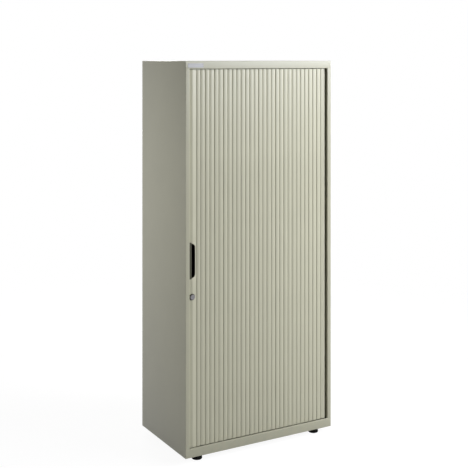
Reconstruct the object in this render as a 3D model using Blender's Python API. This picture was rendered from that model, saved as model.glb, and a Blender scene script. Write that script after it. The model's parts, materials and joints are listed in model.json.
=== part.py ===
"""Tambour door cabinet, 800 x 470 x 1820 mm, with one curtain that opens to the right.

Metres, +Z up. The origin is on the floor under the middle of the cabinet, +X is to the right
and the front faces -Y. The model stands closed and unlocked, with its feet screwed in.
"""

import math

import bmesh
import bpy
from mathutils import Matrix, Vector

# Carcass
WIDTH = 0.800
DEPTH = 0.470
CARCASS_HEIGHT = 1.795
FOOT_HEIGHT = 0.025
SHEET = 0.001
BEND_RADIUS = 0.0018
BEND_STEPS = 3
CLEAR = 0.0003
OVERRUN = 0.010

# Front frame and folds
STILE_WIDTH = 0.020
STILE_DEPTH = 0.018
STILE_HEM = 0.012
TOP_RAIL = 0.0355
BOTTOM_RAIL = 0.042
RAIL_LIP = 0.003
REAR_FLANGE = 0.015
TOP_REAR_FLANGE = 0.020
BASE_LIP = 0.060

# Curtain
DOOR_RECESS = 0.008
LATH_WIDTH = 0.0365
LATH_DEPTH = 0.014
LATH_RIDGE = 0.015
LATH_RIDGE_RADIUS = 0.010
LATH_RIDGE_STEPS = 4
LATH_LEFT_FALL = 0.003
LATH_RIGHT_FALL = 0.0026
SLAT_COUNT = 15
LAST_SLAT_EXTRA = 0.0034
SLOT_WIDTH = 0.0091
SLAT_DEPTH = 0.0075
SLAT_WALL = 0.0018
RIBS_PER_SLAT = 2
RIB_CROWN = 0.0006
RIB_SHOULDER = 0.0022
SHOULDER_STEPS = 3
GROOVE_WIDTH = 0.0004
GROOVE_DEPTH = 0.0030
EDGE_DEPTH = 0.0048
JOINT_GAP = 0.0012
TONGUE_LENGTH = 0.003
TONGUE_WALL = 0.0015
SLAT_LAP = 0.005
END_GAP = 0.001

# Guide pins and tracks
PIN_RADIUS = 0.0025
PIN_LENGTH = 0.008
PIN_SIDES = 10
LATH_PIN_INSET = 0.006
LUG_LENGTH = 0.008
LUG_HEIGHT = 0.004
LUG_DEPTH = 0.0035
LUG_RISE = 0.0007
TAIL_GAP = 0.0025
TRACK_WIDTH = 0.010
TRACK_HEIGHT = 0.011
TRACK_WEB = 0.002
TRACK_GROOVE = 0.0066
TRACK_STEM = 0.002
TRACK_END_GAP = 0.0015
SIDE_RUN_INSET = 0.0091
BACK_RUN_INSET = 0.0115
BACK_RUN_LENGTH = 0.250
CORNER_STEPS = 6

# Liners and pilasters
LINER_GAP = 0.005
BACK_LINER_FLANGE = 0.015
PILASTER_WIDTH = 0.024
PILASTER_DEPTH = 0.012
PILASTER_SHEET = 0.0012
PILASTER_HEAD_GAP = 0.010
PILASTER_FRONT_SETBACK = 0.073
PILASTER_REAR_SETBACK = 0.022
PILASTER_SLOT_PITCH = 0.050
PILASTER_SLOT_WIDTH = 0.010
PILASTER_SLOT_HEIGHT = 0.008
PILASTER_FOOT_MARGIN = 0.030

# Shelves and bearers
SHELF_COUNT = 4
SLOTS_PER_SHELF = 7
SHELF_SETBACK = 0.045
SHELF_REAR_GAP = 0.002
SHELF_FLANGE = 0.025
SHELF_LIP = 0.012
BEARER_HEIGHT = 0.022
BEARER_SEAT = 0.018
BEARER_SHEET = 0.0015
BEARER_END_GAP = 0.004
HOOK_DROP = 0.012
HOOK_WIDTH = 0.008
HOOK_HEIGHT = 0.006
HOOK_REACH = 0.0015

# Handle
HANDLE_WIDTH = 0.031
HANDLE_HEIGHT = 0.166
HANDLE_CENTRE = 0.914
HANDLE_CORNER = 0.0155
HANDLE_EDGE = 0.001
HANDLE_FILLET = 0.001
HANDLE_WALL = 0.0018
HANDLE_GRIP = 0.014
HANDLE_GRIP_CORNER = 0.005
HANDLE_CUP_STEP = 0.0065
HANDLE_PROUD = 0.002
HANDLE_BACK = 0.0015
HANDLE_CORNER_STEPS = 6

# Lock
LOCK_BELOW_HANDLE = 0.081
LOCK_OFFSET = 0.0165
LOCK_SIDES = 32
COLLAR_RADIUS = 0.0150
COLLAR_FACE_RADIUS = 0.0128
COLLAR_THICKNESS = 0.006
COLLAR_SEAT = 0.0032
HEAD_RADIUS = 0.0112
HEAD_PROUD = 0.007
BODY_RADIUS = 0.009
TANG_RADIUS = 0.004
TANG_LENGTH = 0.0075
KEYWAY_WIDTH = 0.0022
KEYWAY_LENGTH = 0.010
KEYWAY_DEPTH = 0.0025
KEYWAY_ANGLE = math.radians(45)
LOCK_CLEAR = 0.0004
CAM_GAP = 0.002
CAM_THICKNESS = 0.002
CAM_REACH = 0.024
CAM_WIDTH = 0.010
CAM_HOOK = 0.007
CAM_HOOK_WIDTH = 0.005
NUT_WIDTH = 0.010
NUT_HEIGHT = 0.004

# Striker plate
STRIKER_SHEET = 0.002
STRIKER_BEND = 0.0025
STRIKER_HALF_HEIGHT = 0.030
STRIKER_REACH = 0.0145
STRIKER_WINDOW_ABOVE = 0.0065
STRIKER_WINDOW_BELOW = 0.0235
STRIKER_WINDOW_SIDE = 0.0012

# Feet
FOOT_SIDE_INSET = 0.078
FOOT_END_INSET = 0.040
FOOT_SIDES = 24
PAD_RADIUS = 0.0243
PAD_FLOOR_RADIUS = 0.0225
PAD_NECK_RADIUS = 0.018
PAD_WIDEST_HEIGHT = 0.0045
PAD_RIM = 0.0025
PAD_HEIGHT = 0.022
PAD_SOCKET_DEPTH = 0.012
STEM_RADIUS = 0.005
STEM_LENGTH = 0.038
STEM_SIDES = 16
STEM_CLEAR = 0.0004
BOSS_WALL = 0.004
BOSS_HEIGHT = 0.012

# Badge plate
BADGE_WIDTH = 0.080
BADGE_HEIGHT = 0.019
BADGE_THICKNESS = 0.0005
BADGE_SIDE_INSET = 0.011
BADGE_TOP_INSET = 0.0105
BADGE_CORNER = 0.003

# Places that follow from the sizes above
LEFT = -WIDTH / 2
RIGHT = WIDTH / 2
FRONT = -DEPTH / 2
BACK = DEPTH / 2
BOTTOM = FOOT_HEIGHT
TOP = BOTTOM + CARCASS_HEIGHT
OPENING_BOTTOM = BOTTOM + BOTTOM_RAIL
OPENING_TOP = TOP - TOP_RAIL
PANEL_END = WIDTH / 2 - SHEET - CLEAR
BACK_PANEL_END = WIDTH / 2 - BEND_RADIUS
FLANGE_FACE = BACK - SHEET
BACK_PANEL_FACE = FLANGE_FACE - CLEAR - SHEET
INNER_BACK = BACK_PANEL_FACE - CLEAR

CREST_Y = FRONT + DOOR_RECESS
CURTAIN_Y = CREST_Y + SLAT_DEPTH / 2
LATH_LEFT = LEFT + STILE_WIDTH + CLEAR
SLATS_LEFT = LEFT + STILE_WIDTH + LATH_WIDTH
CURTAIN_END = RIGHT - STILE_WIDTH - SLOT_WIDTH
SLAT_PITCH = (CURTAIN_END - LAST_SLAT_EXTRA - SLATS_LEFT) / SLAT_COUNT
SLAT_BOTTOM = OPENING_BOTTOM - SLAT_LAP
SLAT_TOP = OPENING_TOP + SLAT_LAP
LATH_BACK = CREST_Y + LATH_DEPTH

SIDE_RUN_X = RIGHT - SIDE_RUN_INSET
CORNER_RADIUS = SIDE_RUN_X - CURTAIN_END
TAIL_ANGLE = math.acos(CORNER_RADIUS / SLAT_PITCH)
TAIL_REACH = SLAT_PITCH * math.sin(TAIL_ANGLE)
BACK_RUN_Y = INNER_BACK - SHEET - BACK_RUN_INSET
TRACK_BOTTOM = SLAT_BOTTOM - END_GAP - TRACK_HEIGHT
FLOOR_TOP = TRACK_BOTTOM - CLEAR
CEILING = TOP - SHEET - CLEAR

LINER_LEFT = SIDE_RUN_X - SLAT_DEPTH / 2 - LINER_GAP - SHEET
LINER_FRONT = CURTAIN_Y + TAIL_REACH
BACK_LINER_REAR = BACK_RUN_Y - SLAT_DEPTH / 2 - LINER_GAP
BACK_LINER_FRONT = BACK_LINER_REAR - SHEET

LEFT_PILASTER_FACE = LEFT + SHEET + CLEAR + PILASTER_DEPTH
RIGHT_PILASTER_FACE = LINER_LEFT - CLEAR - PILASTER_DEPTH
FRONT_PILASTER_Y = FRONT + PILASTER_FRONT_SETBACK
REAR_PILASTER_Y = BACK_LINER_FRONT - PILASTER_REAR_SETBACK - PILASTER_WIDTH
SHELF_SPACING = SLOTS_PER_SHELF * PILASTER_SLOT_PITCH
SHELF_LEFT = LEFT_PILASTER_FACE + CLEAR + BEARER_SHEET + CLEAR
SHELF_RIGHT = RIGHT_PILASTER_FACE - CLEAR - BEARER_SHEET - CLEAR
SHELF_FRONT = FRONT + SHELF_SETBACK
SHELF_REAR = BACK_LINER_FRONT - SHELF_REAR_GAP
BEARER_FRONT = SHELF_FRONT + SHELF_LIP + BEARER_END_GAP
BEARER_REAR = SHELF_REAR - SHELF_LIP - BEARER_END_GAP

HANDLE_LEFT = LATH_LEFT
HANDLE_FRONT = CREST_Y - HANDLE_PROUD
HANDLE_REAR = LATH_BACK + HANDLE_BACK
LOCK_X = LEFT + STILE_WIDTH + LOCK_OFFSET
LOCK_HEIGHT = HANDLE_CENTRE - HANDLE_HEIGHT / 2 - LOCK_BELOW_HANDLE
COLLAR_REAR = CREST_Y + COLLAR_SEAT - CLEAR
CAM_FRONT = LATH_BACK + CAM_GAP
CAM_REAR = CAM_FRONT + CAM_THICKNESS
NUT_FRONT = CAM_REAR + CLEAR
TANG_END = LATH_BACK + CAM_GAP / 2 + TANG_LENGTH
STRIKER_RIGHT = LEFT + STILE_WIDTH - CLEAR
STRIKER_FRONT = FRONT + STILE_DEPTH + CLEAR
STEM_BOTTOM = PAD_HEIGHT - PAD_SOCKET_DEPTH + CLEAR


def clear_scene():
    """Remove whatever the scene holds at the start."""
    for thing in list(bpy.data.objects):
        bpy.data.objects.remove(thing)


def material(name, colour, roughness, metallic=0.0):
    """A Principled BSDF material."""
    made = bpy.data.materials.new(name)
    made.use_nodes = True
    shader = made.node_tree.nodes["Principled BSDF"]
    shader.inputs["Base Color"].default_value = (*colour, 1.0)
    shader.inputs["Roughness"].default_value = roughness
    shader.inputs["Metallic"].default_value = metallic
    made.diffuse_color = (*colour, 1.0)
    return made


def left_of(direction):
    """The direction a quarter turn to the left of this one."""
    return Vector((-direction.y, direction.x))


def turned(vector, angle):
    """A flat vector turned to the left by this angle."""
    across = math.cos(angle)
    up = math.sin(angle)
    return Vector((across * vector.x - up * vector.y, up * vector.x + across * vector.y))


def rounded(path, radius, steps):
    """(point, left normal) along a path whose corners are turned into arcs of this radius."""
    points = [Vector(point) for point in path]
    heading = (points[1] - points[0]).normalized()
    found = [(points[0], left_of(heading))]
    for corner, after in zip(points[1:], points[2:]):
        leaving = (after - corner).normalized()
        turn = heading.angle_signed(leaving) * -1
        start = corner - heading * radius * math.tan(abs(turn) / 2)
        spoke = left_of(heading) * math.copysign(radius, turn)
        for step in range(steps + 1):
            angle = turn * step / steps
            found.append((start + spoke - turned(spoke, angle), left_of(turned(heading, angle))))
        heading = leaving
    found.append((points[-1], left_of(heading)))
    return found


def strip_outline(stations, half):
    """Outline of a strip this far to each side of the stations."""
    left = [point + normal * half for point, normal in stations]
    right = [point - normal * half for point, normal in stations]
    return [tuple(point) for point in left + right[::-1]]


def folded_outline(path, thickness=SHEET, bend=BEND_RADIUS):
    """Outline of a sheet folded along a centre line, its bends of this outer radius."""
    stations = rounded(path, bend - thickness / 2, BEND_STEPS)
    return strip_outline(stations, thickness / 2)


def round_corners(corners, radii, steps):
    """Outline with each corner rounded by its own radius."""
    outline = []
    count = len(corners)
    for index, corner in enumerate(corners):
        before = Vector(corners[index - 1])
        middle = Vector(corner)
        after = Vector(corners[(index + 1) % count])
        stations = rounded([before, middle, after], radii[index], steps)
        outline += [tuple(point) for point, normal in stations[1:-1]]
    return outline


def placed(axis, level, first, second):
    """A point at a level along an axis, the other two numbers in their own order."""
    point = [first, second]
    point.insert(axis, level)
    return Vector(point)


def add_prism(shape, outline, axis, low, high):
    """Add a prism of this outline between two levels along an axis."""
    ends = [[shape.verts.new(placed(axis, level, *uv)) for uv in outline] for level in (low, high)]
    near, far = ends
    count = len(outline)
    made = [shape.faces.new(near), shape.faces.new(far)]
    for index in range(count):
        after = (index + 1) % count
        made.append(shape.faces.new((near[index], near[after], far[after], far[index])))
    bmesh.ops.recalc_face_normals(shape, faces=made)


def add_box(shape, low, high):
    """Add a box between two corners."""
    outline = [(low[0], low[1]), (high[0], low[1]), (high[0], high[1]), (low[0], high[1])]
    add_prism(shape, outline, 2, low[2], high[2])


def circle(radius, sides, centre=(0, 0), phase=0.0):
    """Points round a circle."""
    angles = [phase + math.tau * step / sides for step in range(sides)]
    return [(centre[0] + radius * math.cos(a), centre[1] + radius * math.sin(a)) for a in angles]


def add_turned(shape, profile, sides):
    """Add a closed (radius, height) profile turned about Z, its end points on the axis."""
    rings = []
    for radius, height in profile:
        if radius:
            rings.append([shape.verts.new((x, y, height)) for x, y in circle(radius, sides)])
        else:
            rings.append([shape.verts.new((0, 0, height))])
    made = []
    for low, high in zip(rings, rings[1:]):
        for index in range(sides):
            after = (index + 1) % sides
            corners = [low[index % len(low)], low[after % len(low)]]
            corners += [high[after % len(high)], high[index % len(high)]]
            made.append(shape.faces.new(list(dict.fromkeys(corners))))
    bmesh.ops.recalc_face_normals(shape, faces=made)


def sweep(shape, stations, section):
    """Add a closed (across, height) section swept along (point, left normal) stations."""
    rings = []
    for point, normal in stations:
        flat = [(point + normal * across, height) for across, height in section]
        rings.append([shape.verts.new((at.x, at.y, height)) for at, height in flat])
    count = len(section)
    made = [shape.faces.new(rings[0]), shape.faces.new(rings[-1])]
    for near, far in zip(rings, rings[1:]):
        for index in range(count):
            after = (index + 1) % count
            made.append(shape.faces.new((near[index], near[after], far[after], far[index])))
    bmesh.ops.recalc_face_normals(shape, faces=made)


def new_object(name, mesh, place=(0, 0, 0), turn=0.0, parent=None):
    """An object that shows a mesh at a place, turned about Z."""
    thing = bpy.data.objects.new(name, mesh)
    thing.location = place
    thing.rotation_euler = (0, 0, turn)
    thing.parent = parent
    bpy.context.scene.collection.objects.link(thing)
    return thing


def finish(shape, name, finish_material, smooth=False):
    """The mesh of a bmesh shape, with its material."""
    mesh = bpy.data.meshes.new(name)
    shape.to_mesh(mesh)
    shape.free()
    mesh.materials.append(finish_material)
    if smooth:
        mesh.shade_smooth()
        mesh.set_sharp_from_angle(angle=math.radians(35))
    return mesh


def joint_empty(name, place):
    """An empty on a joint's axis, which carries the pieces that move about it."""
    empty = bpy.data.objects.new(name, None)
    empty.location = place
    empty.empty_display_size = PAD_RADIUS
    bpy.context.scene.collection.objects.link(empty)
    return empty


def combine(thing, other, operation):
    """Cut another object from a thing, or unite the two, and hide the other."""
    modifier = thing.modifiers.new(f"{operation.lower()} {other.name}", "BOOLEAN")
    modifier.operation = operation
    modifier.object = other
    modifier.solver = "EXACT"
    other.hide_render = True
    other.display_type = "WIRE"


def helper(name, shape):
    """A hidden object from a shape, for a cut or a union."""
    mesh = bpy.data.meshes.new(name)
    shape.to_mesh(mesh)
    shape.free()
    return new_object(name, mesh)


def box_helper(name, low, high):
    """A hidden box."""
    shape = bmesh.new()
    add_box(shape, low, high)
    return helper(name, shape)


def folded_panel(name, path, axis, low, high, finish_material):
    """A folded sheet along an axis, as an object."""
    shape = bmesh.new()
    add_prism(shape, folded_outline(path), axis, low, high)
    return new_object(name, finish(shape, name, finish_material))


def side_panel(name, side, paint):
    """Side panel: stile with its return and hem, skin and rear flange; side is -1 left, +1 right."""
    half = SHEET / 2
    skin = side * (WIDTH / 2 - half)
    stile_edge = side * (WIDTH / 2 - STILE_WIDTH + half)
    hem_end = stile_edge + side * STILE_HEM
    flange_edge = side * (WIDTH / 2 - REAR_FLANGE)
    hem_y = FRONT + STILE_DEPTH - half
    path = [(hem_end, hem_y), (stile_edge, hem_y), (stile_edge, FRONT + half)]
    path += [(skin, FRONT + half), (skin, BACK - half), (flange_edge, BACK - half)]
    panel = folded_panel(name, path, 2, BOTTOM, TOP, paint)
    inner = side * PANEL_END
    middle = side * (WIDTH / 2 - STILE_WIDTH - OVERRUN)
    near, far = sorted((inner + side * CLEAR, middle))
    reach = FRONT + STILE_DEPTH + OVERRUN
    low_end = OPENING_BOTTOM + CLEAR
    base = (near, FRONT - OVERRUN, BOTTOM - OVERRUN)
    low_cut = box_helper(f"{name}_base_notch", base, (far, reach, low_end))
    base = (near, FRONT - OVERRUN, OPENING_TOP - CLEAR)
    high_cut = box_helper(f"{name}_top_notch", base, (far, reach, TOP + OVERRUN))
    combine(panel, low_cut, "DIFFERENCE")
    combine(panel, high_cut, "DIFFERENCE")
    return panel


def top_panel(paint):
    """Top panel, with the top rail folded down at the front and a flange at the back."""
    half = SHEET / 2
    front = FRONT + half
    rear = INNER_BACK - half
    path = [(FRONT + RAIL_LIP, OPENING_TOP + half), (front, OPENING_TOP + half)]
    path += [(front, TOP - half), (rear, TOP - half), (rear, TOP - TOP_REAR_FLANGE)]
    return folded_panel("top_panel", path, 0, -PANEL_END, PANEL_END, paint)


def base_panel(paint):
    """Base panel: bottom rail, floor and the lips underneath, with threaded bosses for the feet."""
    half = SHEET / 2
    front = FRONT + half
    rear = INNER_BACK - half
    step = FRONT + RAIL_LIP + half
    floor = FLOOR_TOP - half
    path = [(FRONT + BASE_LIP, BOTTOM + half), (front, BOTTOM + half)]
    path += [(front, OPENING_BOTTOM - half), (step, OPENING_BOTTOM - half), (step, floor)]
    path += [(rear, floor), (rear, BOTTOM + half), (rear - BASE_LIP, BOTTOM + half)]
    panel = folded_panel("base_panel", path, 0, -PANEL_END, PANEL_END, paint)
    bosses = bmesh.new()
    holes = bmesh.new()
    hole = STEM_RADIUS + STEM_CLEAR
    for x, y in foot_places():
        outer = circle(hole + BOSS_WALL, STEM_SIDES, (x, y))
        add_prism(bosses, outer, 2, BOTTOM + half, BOTTOM + BOSS_HEIGHT)
        add_prism(holes, circle(hole, STEM_SIDES, (x, y)), 2, BOTTOM - OVERRUN, FLOOR_TOP - SHEET - CLEAR)
    combine(panel, helper("base_bosses", bosses), "UNION")
    combine(panel, helper("base_boss_holes", holes), "DIFFERENCE")


def back_panel(paint):
    """Back panel, a flat sheet held behind the side flanges."""
    shape = bmesh.new()
    low = (-BACK_PANEL_END, BACK_PANEL_FACE, BOTTOM)
    add_box(shape, low, (BACK_PANEL_END, BACK_PANEL_FACE + SHEET, TOP))
    new_object("back_panel", finish(shape, "back_panel", paint))


def liners(paint):
    """The right and back liners, which part the stored things from the stowed curtain."""
    half = SHEET / 2
    low = FLOOR_TOP + CLEAR
    x = LINER_LEFT + half
    edge = LINER_LEFT - PILASTER_DEPTH
    front = LINER_FRONT + half
    rear = BACK_LINER_FRONT - CLEAR - half
    path = [(edge, front), (x, front), (x, rear), (edge, rear)]
    folded_panel("right_liner", path, 2, low, CEILING, paint)
    left = -PANEL_END + half
    y = BACK_LINER_FRONT + half
    path = [(left, y - BACK_LINER_FLANGE), (left, y), (LINER_LEFT - BEND_RADIUS, y)]
    folded_panel("back_liner", path, 2, low, CEILING, paint)


def track_stations():
    """The guide tracks' route: front, round the corner, along the right side and part of the back."""
    path = [(LEFT + STILE_WIDTH + TRACK_END_GAP, CURTAIN_Y), (SIDE_RUN_X, CURTAIN_Y)]
    path += [(SIDE_RUN_X, BACK_RUN_Y), (SIDE_RUN_X - BACK_RUN_LENGTH, BACK_RUN_Y)]
    return rounded(path, CORNER_RADIUS, CORNER_STEPS)


def guide_tracks(plastic):
    """The bottom track, which lies on the floor, and the top track, which hangs from the top panel."""
    wall = TRACK_WIDTH / 2
    groove = TRACK_GROOVE / 2
    web = TRACK_BOTTOM + TRACK_WEB
    rim = TRACK_BOTTOM + TRACK_HEIGHT
    section = [(-wall, TRACK_BOTTOM), (wall, TRACK_BOTTOM), (wall, rim), (groove, rim)]
    section += [(groove, web), (-groove, web), (-groove, rim), (-wall, rim)]
    shape = bmesh.new()
    sweep(shape, track_stations(), section)
    new_object("bottom_track", finish(shape, "bottom_track", plastic))
    rim = SLAT_TOP + END_GAP
    top = rim + TRACK_HEIGHT
    web = top - TRACK_WEB
    stem = TRACK_STEM / 2
    section = [(-wall, rim), (-groove, rim), (-groove, web), (groove, web), (groove, rim), (wall, rim)]
    section += [(wall, top), (stem, top), (stem, CEILING), (-stem, CEILING), (-stem, top), (-wall, top)]
    shape = bmesh.new()
    sweep(shape, track_stations(), section)
    new_object("top_track", finish(shape, "top_track", plastic))


def rib_profile(start, end, crest, shoulder, steps):
    """(across, depth) points over a rib with round shoulders and a slight crown, its crest at this depth."""
    middle = (start + end) / 2
    slope = math.atan2(2 * RIB_CROWN, middle - start - shoulder)
    level = crest + RIB_CROWN + shoulder * math.cos(slope)
    points = []
    for step in range(steps + 1):
        angle = (math.pi / 2 - slope) * step / steps
        points.append((start + shoulder * (1 - math.cos(angle)), level - shoulder * math.sin(angle)))
    points.append(((points[-1][0] + middle) / 2, crest + RIB_CROWN / 4))
    mirrored = [(start + end - x, depth) for x, depth in reversed(points)]
    return points + [(middle, crest)] + mirrored


def slat_outline(left, with_tongue, extra=0):
    """(across, depth) outline of a slat from its left edge: ribs in front and behind, and a tongue."""
    right = SLAT_PITCH + extra - JOINT_GAP / 2
    rib = SLAT_PITCH / RIBS_PER_SLAT
    groove = GROOVE_WIDTH / 2
    inner = RIB_SHOULDER - SLAT_WALL
    front = [(left, EDGE_DEPTH)]
    behind = [(left + SLAT_WALL, EDGE_DEPTH)]
    for index in range(RIBS_PER_SLAT):
        start = index * rib + groove if index else left
        end = right if index == RIBS_PER_SLAT - 1 else (index + 1) * rib - groove
        if index:
            front.append((index * rib, GROOVE_DEPTH))
            behind.append((index * rib, GROOVE_DEPTH + SLAT_WALL))
        front += rib_profile(start, end, 0, RIB_SHOULDER, SHOULDER_STEPS)
        behind += rib_profile(start + SLAT_WALL, end - SLAT_WALL, SLAT_WALL, inner, 1)
    tongue = SLAT_DEPTH - TONGUE_WALL
    front.append((right, tongue))
    if with_tongue:
        tip = SLAT_PITCH + TONGUE_LENGTH
        front += [(tip, tongue), (tip, SLAT_DEPTH), (right - SLAT_WALL, SLAT_DEPTH)]
    else:
        front.append((right - SLAT_WALL, tongue))
    return front + behind[::-1]


def add_pin(shape, x, depth, low=SLAT_BOTTOM, high=SLAT_TOP):
    """Add a guide pin at both ends of a slat, from these heights out."""
    outline = circle(PIN_RADIUS, PIN_SIDES, (x, depth))
    add_prism(shape, outline, 2, high, SLAT_TOP + PIN_LENGTH)
    add_prism(shape, outline, 2, SLAT_BOTTOM - PIN_LENGTH, low)


def add_lugs(shape, x, start):
    """Add the lugs that carry a joint's pin on the slat that starts here, at both of its ends."""
    near = LUG_DEPTH
    far = SLAT_DEPTH - TONGUE_WALL - CLEAR
    end = start + math.copysign(LUG_LENGTH, start - x)
    for level, up in ((SLAT_BOTTOM, -1), (SLAT_TOP, 1)):
        inner = level - up * LUG_HEIGHT
        step = level + up * CLEAR
        outer = level + up * LUG_RISE
        outline = [(start, inner), (end, inner), (end, outer), (x, outer), (x, step), (start, step)]
        add_prism(shape, outline, 1, near, far)


def baked_mesh(thing, name, smooth=False):
    """The mesh of an object with its modifiers carried out, after which the object goes."""
    bpy.context.view_layer.update()
    graph = bpy.context.evaluated_depsgraph_get()
    mesh = bpy.data.meshes.new_from_object(thing.evaluated_get(graph))
    mesh.name = name
    if smooth:
        mesh.shade_smooth()
        mesh.set_sharp_from_angle(angle=math.radians(35))
    bpy.data.objects.remove(thing)
    return mesh


def slat_mesh(name, left, with_tongue, with_end_pin, plastic, extra=0):
    """The mesh of a slat, its joint line at x 0 and its crests at y 0, with its pins."""
    shape = bmesh.new()
    add_prism(shape, slat_outline(left, with_tongue, extra), 2, SLAT_BOTTOM, SLAT_TOP)
    slat = new_object(name, finish(shape, name, plastic))
    joints = [(0, left)]
    if with_end_pin:
        joints.append((SLAT_PITCH, SLAT_PITCH - JOINT_GAP / 2))
    helpers = []
    for number, (x, start) in enumerate(joints):
        lugs = bmesh.new()
        add_lugs(lugs, x, start)
        helpers.append(helper(f"{name}_lugs_{number}", lugs))
        pins = bmesh.new()
        add_pin(pins, x, SLAT_DEPTH / 2, SLAT_BOTTOM - CLEAR, SLAT_TOP + CLEAR)
        helpers.append(helper(f"{name}_pins_{number}", pins))
    for other in helpers:
        combine(slat, other, "UNION")
    mesh = baked_mesh(slat, name, smooth=True)
    for other in helpers:
        bpy.data.objects.remove(other)
    return mesh


def curtain(plastic):
    """The slats across the front, and the tail slat round the corner."""
    edge = JOINT_GAP / 2
    mesh = slat_mesh("slat", edge, True, False, plastic)
    last_mesh = slat_mesh("last_slat", edge, False, False, plastic, LAST_SLAT_EXTRA)
    tail_mesh = slat_mesh("tail", TAIL_GAP, False, True, plastic)
    for index in range(SLAT_COUNT):
        x = SLATS_LEFT + index * SLAT_PITCH
        shown = last_mesh if index == SLAT_COUNT - 1 else mesh
        new_object(f"slat_{index + 1:02d}", shown, (x, CREST_Y, 0))
    outward = Vector((math.sin(TAIL_ANGLE), -math.cos(TAIL_ANGLE))) * SLAT_DEPTH / 2
    place = (CURTAIN_END + outward.x, CURTAIN_Y + outward.y, 0)
    new_object("tail_slat", tail_mesh, place, TAIL_ANGLE)


def leading_lath(plastic):
    """The broad lath at the curtain's leading edge, open for the handle and the lock."""
    right = SLATS_LEFT - JOINT_GAP / 2
    face = [(LATH_LEFT, LATH_LEFT_FALL), (LATH_LEFT + LATH_RIDGE, 0), (right, LATH_RIGHT_FALL)]
    stations = rounded(face, LATH_RIDGE_RADIUS, LATH_RIDGE_STEPS)
    outline = [(LATH_LEFT, LATH_BACK)]
    outline += [(point.x, CREST_Y + point.y) for point, normal in stations]
    outline += [(right, CREST_Y + SLAT_DEPTH - TONGUE_WALL)]
    outline += [(SLATS_LEFT + TONGUE_LENGTH, CREST_Y + SLAT_DEPTH - TONGUE_WALL)]
    outline += [(SLATS_LEFT + TONGUE_LENGTH, CREST_Y + SLAT_DEPTH), (right, CREST_Y + SLAT_DEPTH)]
    outline += [(right, LATH_BACK)]
    shape = bmesh.new()
    add_prism(shape, outline, 2, SLAT_BOTTOM, SLAT_TOP)
    lath = new_object("leading_lath", finish(shape, "leading_lath", plastic, smooth=True))
    pins = bmesh.new()
    for x in (LATH_LEFT + LATH_PIN_INSET, right - LATH_PIN_INSET):
        add_pin(pins, x, CURTAIN_Y, SLAT_BOTTOM + PIN_LENGTH, SLAT_TOP - PIN_LENGTH)
    combine(lath, helper("lath_pins", pins), "UNION")
    slot = bmesh.new()
    outline = handle_outline(CLEAR, OVERRUN)
    add_prism(slot, outline, 1, FRONT - OVERRUN, LATH_BACK + OVERRUN)
    combine(lath, helper("lath_handle_cut", slot), "DIFFERENCE")
    hole = bmesh.new()
    centre = (LOCK_X, LOCK_HEIGHT)
    outline = circle(BODY_RADIUS + LOCK_CLEAR, LOCK_SIDES, centre)
    add_prism(hole, outline, 1, FRONT - OVERRUN, LATH_BACK + OVERRUN)
    combine(lath, helper("lath_lock_hole", hole), "DIFFERENCE")
    seat = bmesh.new()
    rim = COLLAR_RADIUS + LOCK_CLEAR
    add_prism(seat, circle(rim, LOCK_SIDES, centre), 1, FRONT - OVERRUN, CREST_Y + COLLAR_SEAT)
    combine(lath, helper("lath_lock_seat", seat), "DIFFERENCE")


def handle_outline(margin, left_margin):
    """(x, z) outline of the handle, grown by a margin: a tall grip at the left, a shorter cup beside it."""
    low = HANDLE_CENTRE - HANDLE_HEIGHT / 2 - margin
    high = HANDLE_CENTRE + HANDLE_HEIGHT / 2 + margin
    left = HANDLE_LEFT - left_margin
    grip = HANDLE_LEFT + HANDLE_GRIP + margin
    right = HANDLE_LEFT + HANDLE_WIDTH + margin
    cup_low = low + HANDLE_CUP_STEP
    cup_high = high - HANDLE_CUP_STEP
    corners = [(left, low), (grip, low), (grip, cup_low), (right, cup_low)]
    corners += [(right, cup_high), (grip, cup_high), (grip, high), (left, high)]
    radii = [HANDLE_EDGE, HANDLE_GRIP_CORNER, HANDLE_FILLET, HANDLE_CORNER + margin]
    return round_corners(corners, radii + radii[::-1], HANDLE_CORNER_STEPS)


def handle_pull(plastic):
    """The moulded handle: a tall grip at the left and a D-shaped cup for the fingers beside it."""
    shape = bmesh.new()
    add_prism(shape, handle_outline(0, 0), 1, HANDLE_FRONT, HANDLE_REAR)
    handle = new_object("handle_pull", finish(shape, "handle_pull", plastic, smooth=True))
    cup = bmesh.new()
    half = HANDLE_HEIGHT / 2 - HANDLE_CUP_STEP - HANDLE_WALL
    low = HANDLE_CENTRE - half
    high = HANDLE_CENTRE + half
    left = HANDLE_LEFT + HANDLE_GRIP
    right = HANDLE_LEFT + HANDLE_WIDTH - HANDLE_WALL
    radii = [HANDLE_EDGE, HANDLE_CORNER - HANDLE_WALL, HANDLE_CORNER - HANDLE_WALL, HANDLE_EDGE]
    corners = [(left, low), (right, low), (right, high), (left, high)]
    outline = round_corners(corners, radii, HANDLE_CORNER_STEPS)
    add_prism(cup, outline, 1, HANDLE_FRONT - OVERRUN, HANDLE_REAR - HANDLE_WALL)
    combine(handle, helper("handle_cup_cut", cup), "DIFFERENCE")


def add_round_y(shape, radius, front, rear, sides=LOCK_SIDES):
    """Add a round bar along Y about the lock's axis, which is the shape's own origin."""
    add_prism(shape, circle(radius, sides), 1, front, rear)


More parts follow.
